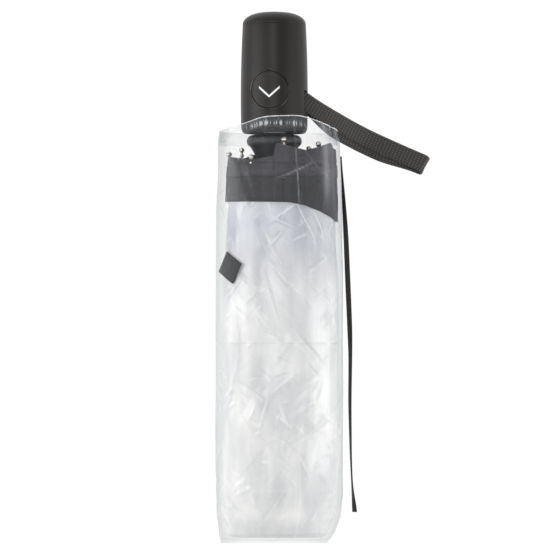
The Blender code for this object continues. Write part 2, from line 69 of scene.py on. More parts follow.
def soft_box(name, place, aim, size, power):
    light = bpy.data.lights.new(name, "AREA")
    light.shape = "RECTANGLE"
    light.size, light.size_y = size
    light.energy = power
    made = bpy.data.objects.new(name, light)
    made.location = place
    made.rotation_euler = (Vector(aim) - Vector(place)).to_track_quat("-Z", "Y").to_euler()
    scene.collection.objects.link(made)


soft_box("overhead_box", (-0.10, 0.25, 1.30), (0, 0, 0), (0.40, 0.70), 3.9)
soft_box("left_strip", (-0.75, 0.10, 0.55), (0, 0, 0.02), (0.08, 0.90), 3.2)
soft_box("right_strip", (0.80, -0.10, 0.60), (0, 0, 0.02), (0.08, 0.90), 2.8)

world = bpy.data.worlds.new("studio")
scene.world = world
world.use_nodes = True


def srgb(text):
    """An sRGB hex colour as linear red, green, blue and a solid alpha."""
    channels = [int(text[i : i + 2], 16) / 255 for i in (1, 3, 5)]
    linear = [c / 12.92 if c <= 0.04045 else ((c + 0.055) / 1.055) ** 2.4 for c in channels]
    return (*linear, 1.0)


def add_node(tree, kind, settings=None, links=None):
    """Adds a node: settings holds its attributes, links its inputs as values or sockets."""
    made = tree.nodes.new(kind)
    for key, value in (settings or {}).items():
        setattr(made, key, value)
    for key, value in (links or {}).items():
        if isinstance(value, bpy.types.NodeSocket):
            tree.links.new(value, made.inputs[key])
        else:
            made.inputs[key].default_value = value
    return made


def new_material(name, hex_colour, roughness, **sockets):
    """A Principled material; sockets are named with _ for a space."""
    made = bpy.data.materials.new(name)
    made.use_nodes = True
    tree = made.node_tree
    shader = tree.nodes["Principled BSDF"]
    shader.inputs["Base Color"].default_value = srgb(hex_colour)
    shader.inputs["Roughness"].default_value = roughness
    for key, value in sockets.items():
        shader.inputs[key.replace("_", " ")].default_value = value
    return made, tree, shader


def noise(tree, scale, detail=2.0):
    """Noise over a piece's own coordinates, as a value from 0 to 1."""
    coordinates = add_node(tree, "ShaderNodeTexCoord")
    links = {"Vector": coordinates.outputs["Object"], "Scale": scale, "Detail": detail}
    return add_node(tree, "ShaderNodeTexNoise", links=links).outputs["Fac"]


def spread(tree, value, low, high):
    """A value from 0 to 1, spread between low and high."""
    links = {"Value": value, "To Min": low, "To Max": high}
    return add_node(tree, "ShaderNodeMapRange", links=links).outputs["Result"]


def two_tone(tree, share, first, second):
    """A colour between two, either hex colours or colour sockets, by a share from 0 to 1."""
    first, second = (srgb(c) if isinstance(c, str) else c for c in (first, second))
    mix = add_node(
        tree, "ShaderNodeMix", {"data_type": "RGBA"}, {0: share, 6: first, 7: second}
    )
    return mix.outputs[2]


def roughen(tree, shader, height, strength, distance):
    """Raises a fine surface grain from a height value."""
    links = {"Height": height, "Strength": strength, "Distance": distance}
    bump = add_node(tree, "ShaderNodeBump", links=links)
    tree.links.new(bump.outputs["Normal"], shader.inputs["Normal"])


# a white tent, brighter round its sides than overhead, where the camera looks through it
sky = world.node_tree
sky_direction = add_node(sky, "ShaderNodeTexCoord")
sky_axes = add_node(
    sky, "ShaderNodeSeparateXYZ", links={"Vector": sky_direction.outputs["Generated"]}
)
sky_light = add_node(
    sky,
    "ShaderNodeMapRange",
    {"interpolation_type": "SMOOTHSTEP"},
    {
        "Value": sky_axes.outputs["Z"],
        "From Min": 0.30,
        "From Max": 0.95,
        "To Min": 1.15,
        "To Max": 0.22,
    },
)
sky.links.new(sky_light.outputs["Result"], sky.nodes["Background"].inputs["Strength"])
sky.nodes["Background"].inputs["Color"].default_value = (1.0, 1.0, 1.0, 1.0)

floor_mesh = bpy.data.meshes.new("floor")
shape = bmesh.new()
bmesh.ops.create_grid(shape, x_segments=1, y_segments=1, size=3.0)
shape.to_mesh(floor_mesh)
shape.free()
floor = bpy.data.objects.new("floor", floor_mesh)
floor.location.z = -0.0002
scene.collection.objects.link(floor)
floor_paint, _, _ = new_material(
    "backlit_opal_acrylic", "#101010", 0.9, Emission_Color=(1, 1, 1, 1), Emission_Strength=1.0
)
floor_mesh.materials.append(floor_paint)


# Wrist strap: black ribbed nylon webbing, 10 mm wide, looped round a pin inside the grip.
# It leaves the slot, droops to the table and doubles back on itself at its far end.
STRAP_PIN = Vector((0.0124, 0.1035, shaft_z))
STRAP_ANGLE = math.radians(-27.7)
STRAP_REACH = 0.0800
STRAP_WIDTH = 0.0100
WEB_THICKNESS = 0.0012
WEB_RIB = 0.0019  # from one cross rib to the next
PIN_R = 0.0011
FOLD_R = 0.0021
FLOOR_CLEAR = 0.0004
strap_along = Vector((math.cos(STRAP_ANGLE), math.sin(STRAP_ANGLE), 0.0))
strap_side = Vector((-math.sin(STRAP_ANGLE), math.cos(STRAP_ANGLE), 0.0))


def smoothstep(low, high, value):
    t = np.clip((value - low) / (high - low), 0.0, 1.0)
    return t * t * (3.0 - 2.0 * t)


def link_mesh(name, points, faces, smooth=True):
    """A mesh object from arrays of points and faces."""
    mesh = bpy.data.meshes.new(name)
    mesh.from_pydata(points.tolist(), [], faces.tolist())
    mesh.validate()
    if smooth:
        mesh.shade_smooth()
    made = bpy.data.objects.new(name, mesh)
    scene.collection.objects.link(made)
    return made


def set_share(piece, name, values):
    """Keeps one number from 0 to 1 per point on a mesh, for its material to read."""
    layer = piece.data.attributes.new(name, "FLOAT", "POINT")
    layer.data.foreach_set("value", np.clip(values, 0, 1).astype(np.float32).ravel())


def grid_faces(rows, columns, rows_close=False, columns_close=False):
    """Quads of a grid of points stored row by row, wrapped round either way."""
    i = np.arange(rows if rows_close else rows - 1)
    j = np.arange(columns if columns_close else columns - 1)
    i, j = (a.ravel() for a in np.meshgrid(i, j, indexing="ij"))
    below, after = (i + 1) % rows, (j + 1) % columns
    return np.stack(
        [i * columns + j, i * columns + after, below * columns + after, below * columns + j], 1
    )


def strap_route(steps):
    """The middle line of the webbing, out on the upper run and back on the lower one."""
    out = np.linspace(0.0, STRAP_REACH, steps)
    drop = (shaft_z - FLOOR_CLEAR - FOLD_R - WEB_THICKNESS / 2) * smoothstep(
        0.0, 0.70 * STRAP_REACH, out
    )
    shut = WEB_THICKNESS / 2 + 0.0003
    near = np.clip(1 - out / 0.012, 0, 1) ** 2
    far = np.clip((out / STRAP_REACH - 0.75) / 0.25, 0, 1) ** 2
    eye = PIN_R + 0.0003 + WEB_THICKNESS / 2
    spread = shut + (eye - shut) * near + (FOLD_R - shut) * far
    bow = -0.0028 * np.sin(math.pi * (out / STRAP_REACH) ** 0.8)
    slip = 0.0036 * smoothstep(0.006, 0.030, out) * (1 - 0.6 * smoothstep(0.055, 0.080, out))
    upper = np.stack([out, bow + 0.15 * slip, spread - drop], 1)
    lower = np.stack([out, bow - slip, -spread - drop], 1)
    turn = np.linspace(90, -90, 16)[1:-1, None] * math.pi / 180
    blend = (1 - np.sin(turn)) / 2
    fold = np.concatenate(
        [
            STRAP_REACH + 1.25 * FOLD_R * np.cos(turn),
            upper[-1, 1] + (lower[-1, 1] - upper[-1, 1]) * blend,
            FOLD_R * np.sin(turn) - drop[-1],
        ],
        1,
    )
    back = turn[::-1] + math.pi
    loop = np.concatenate([eye * np.cos(back), 0 * back, eye * np.sin(back)], 1)
    return np.concatenate([upper, fold, lower[::-1], loop[::-1]])


def even(points, step):
    """A closed line's points, spaced evenly."""
    closed = np.concatenate([points, points[:1]])
    lengths = np.r_[0, np.cumsum(np.linalg.norm(np.diff(closed, axis=0), axis=1))]
    places = np.arange(0, lengths[-1], step)
    return np.stack([np.interp(places, lengths, closed[:, k]) for k in range(3)], 1), lengths[-1]


route, strap_length = even(strap_route(120), 0.00035)
ahead = np.roll(route, -2, 0) - np.roll(route, 2, 0)
ahead /= np.linalg.norm(ahead, axis=1)[:, None]
sideways = np.array([0.0, 1.0, 0.0])
sideways = sideways - ahead * (ahead @ sideways)[:, None]
sideways /= np.linalg.norm(sideways, axis=1)[:, None]
outward = np.cross(sideways, ahead)
across = np.linspace(-1, 1, 27)
places = np.arange(len(route)) * strap_length / len(route)
ribs = round(strap_length / WEB_RIB)
row_phase = 2 * math.pi * ribs * places / strap_length
rib_wave = np.abs(np.cos(row_phase / 2))[:, None]
yarn_wave = 0.5 + 0.5 * np.cos(math.pi * across * STRAP_WIDTH / 0.0014)[None, :]
body = WEB_THICKNESS / 2 * (1 - 0.75 * np.abs(across) ** 14)[None, :]
height = body + 0.00011 * rib_wave * (0.55 + 0.45 * yarn_wave)
edge_in = (STRAP_WIDTH / 2 - 0.00008 * (1 - rib_wave)) * across[None, :]
face = route[:, None, :] + sideways[:, None, :] * edge_in[..., None]
front = face + outward[:, None, :] * height[..., None]
back_side = face - outward[:, None, :] * height[..., None]
web_points = np.concatenate([front, back_side[:, ::-1]], 1)
columns = web_points.shape[1]
to_world = np.array([strap_along, strap_side, (0, 0, 1)])
placed = web_points.reshape(-1, 3) @ to_world + np.array(STRAP_PIN)
wrist_strap = link_mesh(
    "wrist_strap_webbing", placed, grid_faces(len(route), columns, True, True)
)
# crown: how much painted highlight each point of the webbing gets, most on the crown of each yarn
# over a rib
crown = rib_wave**3 * yarn_wave**2
set_share(wrist_strap, "crown", np.concatenate([crown, crown[:, ::-1]], 1))
# woven nylon filament: black, with a dry sheen, and a painted highlight in its colour on the crown of
# each yarn
webbing, tree, shader = new_material("woven_nylon_webbing", "#1B1918", 0.62, Sheen_Weight=0.25)
yarn_tone = two_tone(tree, noise(tree, 1400.0), "#0C0A09", "#191614")
crown_highlight_share = add_node(tree, "ShaderNodeAttribute", {"attribute_name": "crown"})
lit_yarn = two_tone(tree, crown_highlight_share.outputs["Fac"], yarn_tone, "#57514C")
tree.links.new(lit_yarn, shader.inputs["Base Color"])
wrist_strap.data.materials.append(webbing)
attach(wrist_strap, "wrist_strap")
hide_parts("wrist_strap")


# Grip: a barrel of injection-moulded ABS, soft-touch sprayed, in two pieces: the shell and
# its domed end cap.  A port is cut for the push button and a slot for the strap.
GRIP_STEPS = 160
GRIP_GAP = 0.00004
shell_low, shell_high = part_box("handle_shell")
button_low, button_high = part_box("push_button")
MOUTH_Y = shell_low.y
CAP_Y = shell_high.y
END_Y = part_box("handle_end_cap")[1].y
WAIST_R = 0.0188
CAP_R = 0.01772
CAP_FLAT_R = 0.0050
SHELL_WALL = 0.0022
BUTTON_TILT = math.radians(-9.0)
BUTTON_R = 0.0104
BUTTON_Y = (button_low.y + button_high.y) / 2
PORT_R = 0.0113


def grip_radius(y):
    """Fattest a third of the way up from the mouth, slimmer towards the cap."""
    waist = MOUTH_Y + (CAP_Y - MOUTH_Y) / 3
    reach = (y - waist) / (CAP_Y - waist)
    return WAIST_R - (WAIST_R - CAP_R) * reach * reach


def turned(name, profile, steps=GRIP_STEPS, closed=True):
    """Turns (radius, y) points round the shaft's axis; a closed outline makes a ring."""
    profile = np.array(profile)
    angles = np.arange(steps) * 2 * math.pi / steps
    around = np.stack([np.cos(angles), 0 * angles, np.sin(angles)], 1)
    points = profile[:, None, :1] * around[None]
    points[..., 1] += profile[:, 1:]
    points[..., 2] += shaft_z
    faces = grid_faces(len(profile), steps, closed, True)
    made = link_mesh(name, points.reshape(-1, 3), faces)
    cleaner = bmesh.new()
    cleaner.from_mesh(made.data)
    bmesh.ops.remove_doubles(cleaner, verts=cleaner.verts, dist=1e-7)
    bmesh.ops.recalc_face_normals(cleaner, faces=cleaner.faces)
    cleaner.to_mesh(made.data)
    cleaner.free()
    made.data.shade_smooth()
    made.data.set_sharp_from_angle(angle=math.radians(40))
    return made


def cut_with(target, tool):
    """Cuts tool out of target for good, then drops the tool."""
    change = target.modifiers.new("cut", "BOOLEAN")
    change.object = tool
    bpy.context.view_layer.update()
    cut = bpy.data.meshes.new_from_object(
        target.evaluated_get(bpy.context.evaluated_depsgraph_get())
    )
    target.modifiers.clear()
    target.data = cut
    bpy.data.objects.remove(tool)
    cut.shade_smooth()
    cut.set_sharp_from_angle(angle=math.radians(40))


def arc(centre_r, centre_y, radius, start, end, count=7):
    """Points of a rounded edge, from one angle to another, as (radius, y)."""
    angles = np.radians(np.linspace(start, end, count))
    return [(centre_r + radius * math.cos(a), centre_y + radius * math.sin(a)) for a in angles]


MOUTH_ROUND = (0.0019, 0.0042)  # across the wall, along the grip
side = [(grip_radius(y), y) for y in np.linspace(CAP_Y - 0.0006, MOUTH_Y + MOUTH_ROUND[1], 26)]
side_end_r = grip_radius(MOUTH_Y + MOUTH_ROUND[1])
mouth_edge = [
    (
        side_end_r - MOUTH_ROUND[0] * (1 - math.cos(math.radians(a))),
        MOUTH_Y + MOUTH_ROUND[1] * (1 - math.sin(math.radians(a))),
    )
    for a in np.linspace(8, 90, 10)
]
shell_profile = (
    arc(CAP_R - 0.00003, CAP_Y - 0.00003 - GRIP_GAP, 0.00003, 90, 0, 3)
    + side
    + mouth_edge
    + [(side_end_r - SHELL_WALL + 0.0001, MOUTH_Y), (side_end_r - SHELL_WALL, MOUTH_Y + 0.0004)]
    + [(side_end_r - SHELL_WALL, MOUTH_Y + 0.0080), (CAP_R - SHELL_WALL, CAP_Y - GRIP_GAP)]
)
grip_shell = turned("grip_shell", shell_profile)
button_axis = Vector((math.sin(BUTTON_TILT), 0.0, math.cos(BUTTON_TILT)))
button_foot = Vector((0.0, BUTTON_Y, shaft_z))


def round_cutter(radius, low, high, steps=128):
    """A plain cylinder along the button's axis, for cutting only."""
    cutter = bmesh.new()
    bmesh.ops.create_cone(
        cutter, cap_ends=True, segments=steps, radius1=radius, radius2=radius, depth=high - low
    )
    mesh = bpy.data.meshes.new("cutter")
    turn = Matrix.Rotation(BUTTON_TILT, 4, "Y") @ Matrix.Translation((0, 0, (low + high) / 2))
    bmesh.ops.transform(cutter, matrix=Matrix.Translation(button_foot) @ turn, verts=cutter.verts)
    cutter.to_mesh(mesh)
    cutter.free()
    made = bpy.data.objects.new("cutter", mesh)
    scene.collection.objects.link(made)
    return made


def slot_cutter():
    """The strap's slot: as wide as the webbing, and taller above it so that it can lift."""
    cutter = bmesh.new()
    bmesh.ops.create_cube(cutter, size=1.0)
    bmesh.ops.scale(cutter, vec=(0.020, STRAP_WIDTH + 0.0006, 0.0130), verts=cutter.verts)
    bmesh.ops.bevel(
        cutter,
        geom=[e for e in cutter.edges],
        offset=0.0012,
        segments=3,
        affect="EDGES",
        profile=0.5,
    )
    middle = STRAP_PIN + strap_along * 0.010 - strap_side * 0.0010 + Vector((0, 0, 0.0022))
    turn = Matrix.Translation(middle) @ Matrix.Rotation(STRAP_ANGLE, 4, "Z")
    bmesh.ops.transform(cutter, matrix=turn, verts=cutter.verts)
    mesh = bpy.data.meshes.new("cutter")
    cutter.to_mesh(mesh)
    cutter.free()
    made = bpy.data.objects.new("cutter", mesh)
    scene.collection.objects.link(made)
    return made


cut_with(grip_shell, round_cutter(PORT_R, 0.010, 0.024))
cut_with(grip_shell, slot_cutter())

dome = [
    (
        CAP_FLAT_R + (CAP_R - CAP_FLAT_R) * math.sin(math.radians(a)),
        CAP_Y + 0.0004 + (END_Y - CAP_Y - 0.0004) * math.cos(math.radians(a)),
    )
    for a in np.linspace(0, 90, 22)
]
cap_profile = (
    [(0.0, END_Y), (CAP_FLAT_R * 0.6, END_Y)]
    + dome
    + arc(CAP_R - 0.00003, CAP_Y + 0.00003 + GRIP_GAP, 0.00003, 0, -90, 3)
    + [(CAP_R - SHELL_WALL - 0.0002, CAP_Y + GRIP_GAP), (CAP_R - SHELL_WALL - 0.0002, CAP_Y - 0.003)]
    + [(0.0, CAP_Y - 0.003)]
)
grip_cap = turned("grip_end_cap", cap_profile, closed=False)

# soft-touch lacquer over moulded ABS: warm near-black, a fine dry grain and faint cloudiness
# in the gloss
soft_touch, tree, shader = new_material(
    "soft_touch_lacquered_abs", "#1C1918", 0.40, Specular_IOR_Level=0.30
)
grain = noise(tree, 1800.0)
tree.links.new(spread(tree, noise(tree, 90.0, 3.0), 0.36, 0.46), shader.inputs["Roughness"])
tree.links.new(two_tone(tree, grain, "#110F0D", "#1B1715"), shader.inputs["Base Color"])
roughen(tree, shader, grain, 0.35, 0.00008)
for piece, node_name in ((grip_shell, "handle_shell"), (grip_cap, "handle_end_cap")):
    piece.data.materials.clear()
    piece.data.materials.append(soft_touch)
    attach(piece, "handle")
    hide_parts(node_name)


# Push button: a round ABS key flush with the barrel, in a thin polished rim, with one plain
# chevron pad-printed in white to show which way the umbrella opens.
def barrel_height(x, y, inset):
    """Height above the shaft's axis, along the button's axis, of a point on the grip's skin."""
    return np.sqrt((grip_radius(BUTTON_Y + y) - inset) ** 2 - x * x)


def on_barrel(x, y, height):
    """World points from places across the button and heights along its axis."""
    tilt_x = np.array([math.cos(BUTTON_TILT), 0.0, -math.sin(BUTTON_TILT)])
    points = x[..., None] * tilt_x + height[..., None] * np.array(button_axis)
    points[..., 1] += y
    return points + np.array(button_foot)


BUTTON_INSET = 0.00035
angles = np.arange(96) * 2 * math.pi / 96
radii = BUTTON_R * np.r_[0.0001, np.linspace(0.06, 0.94, 16), 0.965, 0.985, 0.997, 1.0, 1.0]
roll = np.r_[np.zeros(17), 0.02, 0.08, 0.20, 0.36, 6.0] * 0.00065
dish = 0.00025 * (1 - (radii / BUTTON_R) ** 2)
x = radii[:, None] * np.cos(angles)
y = radii[:, None] * np.sin(angles)
top = barrel_height(x, y, BUTTON_INSET) - (roll + dish)[:, None]
push_button = link_mesh(
    "push_button_key", on_barrel(x, y, top).reshape(-1, 3), grid_faces(len(radii), 96, False, True)
)
push_button.data.materials.append(soft_touch)
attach(push_button, "button")
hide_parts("push_button")

rim_turn = np.radians(np.linspace(200, -20, 14))
rim_radii = (BUTTON_R + PORT_R) / 2 + 0.0001 + 0.00042 * np.cos(rim_turn)
rim_lift = 0.00030 * np.sin(rim_turn)
x = rim_radii[:, None] * np.cos(angles)
y = rim_radii[:, None] * np.sin(angles)
top = barrel_height(x, y, 0.00030) + rim_lift[:, None]
top[0] -= 0.0016
top[-1] -= 0.0016
button_rim = link_mesh(
    "button_rim_ring", on_barrel(x, y, top).reshape(-1, 3), grid_faces(14, 96, False, True)
)
# the same ABS left unsprayed and polished in the mould, so it catches one thin bright line
polished, tree, shader = new_material("mould_polished_abs", "#1C1917", 0.16, IOR=1.53)
tree.links.new(spread(tree, noise(tree, 700.0), 0.10, 0.26), shader.inputs["Roughness"])
button_rim.data.materials.append(polished)
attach(button_rim, "handle")
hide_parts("button_rim")

CHEVRON_HALF = 0.0058
CHEVRON_DROP = 0.0052
CHEVRON_LINE = 0.0013
arm = np.linspace(-1, 1, 41)[:, None]
line = np.linspace(-0.5, 0.5, 5)[None, :]
x = CHEVRON_HALF * arm + 0 * line
y = -0.0012 + CHEVRON_DROP * (np.abs(arm) - 0.5) + CHEVRON_LINE * line
inner_r = np.sqrt(x * x + y * y)
top = barrel_height(x, y, BUTTON_INSET) - 0.00025 * (1 - (inner_r / BUTTON_R) ** 2) + 0.00003
mark = link_mesh(
    "button_chevron_print", on_barrel(x, y, top).reshape(-1, 3), grid_faces(41, 5), smooth=False
)
ink, tree, shader = new_material("white_pad_print", "#E9E9EA", 0.45)
ink_tone = two_tone(tree, noise(tree, 2500.0), "#D5D6D9", "#F7F7F7")
tree.links.new(ink_tone, shader.inputs["Base Color"])
mark.data.materials.append(ink)
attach(mark, "button")


# Runner: glass-filled nylon, moulded in one with its round flange and cone.  It slides on the
# shaft, and its lower collar holds the feet of the stretchers.
runner_low, runner_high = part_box("runner")
flange_r = (runner_high.x - runner_low.x) / 2
FLANGE_ROLL = 0.0034
flange_y = runner_high.y - FLANGE_ROLL - 0.0002
NECK_R = 0.0084
COLLAR_R = 0.0116
SHAFT_HOLE_R = 0.0063
runner_profile = (
    [(SHAFT_HOLE_R, runner_high.y + 0.0006), (0.0100, runner_high.y + 0.0006)]
    + [(0.0104, runner_high.y + 0.0004), (0.0108, runner_high.y)]
    + arc(flange_r - FLANGE_ROLL, flange_y, FLANGE_ROLL, 90, -62, 16)
    + [(0.0126, flange_y - 0.0046), (0.0102, flange_y - 0.0088), (0.0086, flange_y - 0.0122)]
    + [(NECK_R, flange_y - 0.0150), (NECK_R, runner_low.y + 0.0086), (0.0110, runner_low.y + 0.0080)]
    + [(COLLAR_R, runner_low.y + 0.0074), (COLLAR_R, runner_low.y + 0.0006)]
    + [(0.0110, runner_low.y), (SHAFT_HOLE_R, runner_low.y)]
)
runner = turned("runner_hub", runner_profile, 96)
# glass-filled nylon: blue-black, with the dull sheen of a fine spark-eroded mould
nylon, tree, shader = new_material("glass_filled_nylon", "#15171C", 0.42, IOR=1.53)
spark = noise(tree, 1500.0, 3.0)
tree.links.new(two_tone(tree, spark, "#0B0D11", "#15181E"), shader.inputs["Base Color"])
roughen(tree, shader, spark, 0.3, 0.00008)
runner.data.materials.append(nylon)
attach(runner, "canopy_frame")
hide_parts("runner")


def dress(material, *names):
    """Gives CAD nodes a new material in all their slots."""
    for name in names:
        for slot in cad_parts[name].material_slots:
            slot.material = material


dress(nylon, "handle_core", "crown")

# Shaft, springs, latch and pins: cold-drawn steel tube and wire, zinc plated and buffed
# lengthways, so they show long faint streaks.
drawn_steel, tree, shader = new_material("drawn_zinc_plated_steel", "#B9BBBF", 0.30, Metallic=1.0)
coordinates = add_node(tree, "ShaderNodeTexCoord")
stretch = add_node(
    tree,
    "ShaderNodeMapping",
    links={"Vector": coordinates.outputs["Object"], "Scale": (2500.0, 40.0, 2500.0)},
)
streaks = add_node(
    tree, "ShaderNodeTexNoise", links={"Vector": stretch.outputs["Vector"], "Scale": 1.0}
)
buffing = spread(tree, streaks.outputs["Fac"], 0.18, 0.42)
tree.links.new(buffing, shader.inputs["Roughness"])
steel_tone = two_tone(tree, streaks.outputs["Fac"], "#9EA1A6", "#D0D2D5")
tree.links.new(steel_tone, shader.inputs["Base Color"])
dress(drawn_steel, "lower_tube", "middle_tube", "upper_tube", "latch_slider", "strap_pin")
dress(drawn_steel, "button_spring", "main_spring")
RIBS = range(1, 9)
for kind in ("inner_rib", "middle_rib", "stretcher"):
    dress(drawn_steel, *(f"{kind}_{i}" for i in RIBS))

# Outer ribs: 2 mm steel wire with a nickel-plated tip pushed on, a ball with a collar under
# it that the border is sewn to.
nickel, tree, shader = new_material("bright_nickel_plate", "#C9C6C0", 0.14, Metallic=1.0)
tree.links.new(spread(tree, noise(tree, 600.0), 0.08, 0.24), shader.inputs["Roughness"])
WIRE_R = 0.0010
BALL_R = 0.0016
WIRE_SIDES = 20
ball = [
    (BALL_R * math.sin(math.radians(a)) + 1e-6, BALL_R * math.cos(math.radians(a)))
    for a in np.linspace(0, 150, 13)
]
tip_profile = (
    # radius, distance below the ball's middle
    ball
    + [(0.00065, -0.0016), (0.00065, -0.0022), (0.00115, -0.0025), (0.00130, -0.0031)]
    + [(0.00115, -0.0037), (0.00070, -0.0040), (0.00070, -0.0046), (WIRE_R, -0.0050)]
)
turn = np.arange(WIRE_SIDES) * 2 * math.pi / WIRE_SIDES
for i in RIBS:
    verts = np.array([v.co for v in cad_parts[f"outer_rib_{i}"].data.vertices])
    order = np.argsort(verts[:, 1])
    elbow = verts[order[:5]].mean(0)
    highest = verts[order[-1]]
    axis = (highest - elbow) / np.linalg.norm(highest - elbow)
    tip = highest - axis * BALL_R
    wire_length = np.linalg.norm(tip - elbow)
    profile = np.array(tip_profile + [(WIRE_R, -wire_length), (1e-6, -wire_length)])
    right = np.cross(axis, (0.0, 0.0, 1.0))
    right /= np.linalg.norm(right)
    up = np.cross(right, axis)
    ring = np.cos(turn)[:, None] * right + np.sin(turn)[:, None] * up
    points = tip + profile[:, None, 1:] * axis + profile[:, None, :1] * ring[None]
    faces = grid_faces(len(profile), WIRE_SIDES, False, True)
    rib = link_mesh(f"outer_rib_wire_{i}", points.reshape(-1, 3), faces)
    rib.data.materials.append(nickel)
    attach(rib, "canopy_frame")
    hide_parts(f"outer_rib_{i}")
dress(nickel, "top_cap")


# Canopy: clear PVC film of 0.15 mm, cut in eight gores and welded.  Folded, it is pulled out
# between the ribs and wound once round them, so it shows as one crumpled, milky bundle.
canopy_low, canopy_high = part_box("canopy_film")
canopy_x = (canopy_low.x + canopy_high.x) / 2


LINE_HALF = 0.0008  # half the width of the white line painted along a crease: stress whitening, and a painted highlight


def creases(around, along, wrap, seed, kinds):
    """Heights of straight fold lines scattered over a film, and how white each fold line is painted:
    stress whitening, and a painted highlight.

    kinds holds (count, half length, half width, height, lean in degrees) for each sort."""
    random = np.random.RandomState(seed)
    height = np.zeros_like(around)
    whitening_and_glint = np.zeros_like(around)
    low, high = along.min(), along.max()
    for count, half_length, half_width, rise, lean in kinds:
        for _ in range(count):
            away = around - random.uniform(0, wrap)
            away -= wrap * np.round(away / wrap)
            up = along - random.uniform(low, high)
            angle = math.radians(random.choice((-1, 1)) * abs(random.normal(lean, 14)))
            long = half_length * random.uniform(0.5, 1.3)
            wide = half_width * random.uniform(0.5, 1.4)
            top = rise * random.uniform(-0.7, 1.0)
            run = up * math.cos(angle) + away * math.sin(angle)
            over = away * math.cos(angle) - up * math.sin(angle)
            over = over + 0.06 * wide * np.sin(run / long * 3.0)
            lopsided = np.where(over > 0, wide, wide * random.uniform(0.35, 1.0))
            tent = np.clip(1 - np.abs(over) / lopsided, 0, 1)
            fade = np.clip(1 - (run / long) ** 2, 0, 1) ** 2
            height += top * tent * fade
            line = np.clip(1 - np.abs(over) / LINE_HALF, 0, 1) ** 1.5
            whitening_and_glint = np.maximum(whitening_and_glint, line * fade * abs(top) / rise)
    return height, whitening_and_glint


def swell(around, along, wrap, seed, size, reach):
    """Broad soft waves that repeat round the film."""
    random = np.random.RandomState(seed)
    total = np.zeros_like(around)
    for _ in range(14):
        turns = random.randint(1, max(2, int(wrap / reach)))
        rate = random.uniform(-1, 1) * 2 * math.pi / reach
        total += np.sin(2 * math.pi * turns * around / wrap + rate * along + random.uniform(0, 6.3))
    return size * total / 4


def stations(y, table):
    """Reads (y, value, value...) rows at any y, in straight lines between them."""
    rows = np.array(sorted(table))
    return [np.interp(y, rows[:, 0], rows[:, k]) for k in range(1, rows.shape[1])]


def film_tube(name, y, half_width, half_height, centre_x, centre_z, power, columns, shape_it):
    """A film wound round the shaft: sections at heights y, moved in or out by shape_it."""
    angle = np.arange(columns) * 2 * math.pi / columns
    c = np.sign(np.cos(angle)) * np.abs(np.cos(angle)) ** (2 / power)
    s = np.sign(np.sin(angle)) * np.abs(np.sin(angle)) ** (2 / power)
    section = np.stack([c * half_width.max(), s * half_height.max()], 1)
    steps = np.linalg.norm(section - np.roll(section, 1, 0), axis=1)
    places = np.cumsum(steps)
    wrap = places[-1]
    even_places = np.arange(columns) * wrap / columns
    angle = np.interp(even_places, np.r_[0, places], np.r_[0, angle[1:], 2 * math.pi])
    c = np.sign(np.cos(angle)) * np.abs(np.cos(angle)) ** (2 / power)
    s = np.sign(np.sin(angle)) * np.abs(np.sin(angle)) ** (2 / power)
    around, along = np.meshgrid(even_places, y)
    move, whitening_and_glint, along = shape_it(around, along, wrap)
    x = centre_x[:, None] + half_width[:, None] * c
    z = centre_z[:, None] + half_height[:, None] * s
    normal = np.stack([np.cos(angle), np.sin(angle)], 1)
    points = np.stack([x + move * normal[:, 0], along, z + move * normal[:, 1]], -1)
    made = link_mesh(name, points.reshape(-1, 3), grid_faces(len(y), columns, False, True))
    set_share(made, "crease", whitening_and_glint)
    return made, points


BUNDLE_TABLE = (
    # y, half width, half height, centre x, centre z, both from the film's middle
    (0.0440, 0.0300, 0.0190, 0.0010, 0.0),
    (0.0200, 0.0314, 0.0195, 0.0004, 0.0),
    (-0.0100, 0.0336, 0.0198, 0.0, 0.0),
    (-0.1180, 0.0338, 0.0194, 0.0, 0.0),
    (-0.1260, 0.0332, 0.0176, 0.0, -0.0004),
    (-0.1330, 0.0318, 0.0140, -0.0004, -0.0010),
    (-0.1375, 0.0302, 0.0112, -0.0010, -0.0012),
    (-0.1436, 0.0276, 0.0088, -0.0014, -0.0008),
    (-0.1446, 0.0250, 0.0056, -0.0018, -0.0026),
    (-0.1452, 0.0200, 0.0016, -0.0020, -0.0040),
)
BUNDLE_STEPS = 300
y = np.linspace(-0.1452, 0.0440, BUNDLE_STEPS)
half_width, half_height, offset, sag = stations(y, BUNDLE_TABLE)


def bundle_shape(around, along, wrap):
    fold, whitening_and_glint = creases(
        around,
        along,
        wrap,
        11,
        (
            (8, 0.070, 0.0042, 0.0007, 5),
            (60, 0.024, 0.0034, 0.0018, 32),
            (130, 0.011, 0.0020, 0.0013, 45),
            (260, 0.0050, 0.0012, 0.0008, 50),
        ),
    )
    waves = swell(around, along, wrap, 12, 0.00022, 0.030)
    fold = np.clip(fold, -0.0032, 0.0012) * (0.2 + 0.8 * smoothstep(-0.1400, -0.1280, along))
    fold = np.minimum(fold, 0.0012 - 0.0012 * smoothstep(0.0260, 0.0360, along))
    return fold + waves - 0.0004, whitening_and_glint, along


canopy, _ = film_tube(
    "canopy_film_bundle",
    y,
    half_width,
    half_height,
    canopy_x + offset,
    shaft_z + sag,
    2.2,
    BUNDLE_STEPS,
    bundle_shape,
)


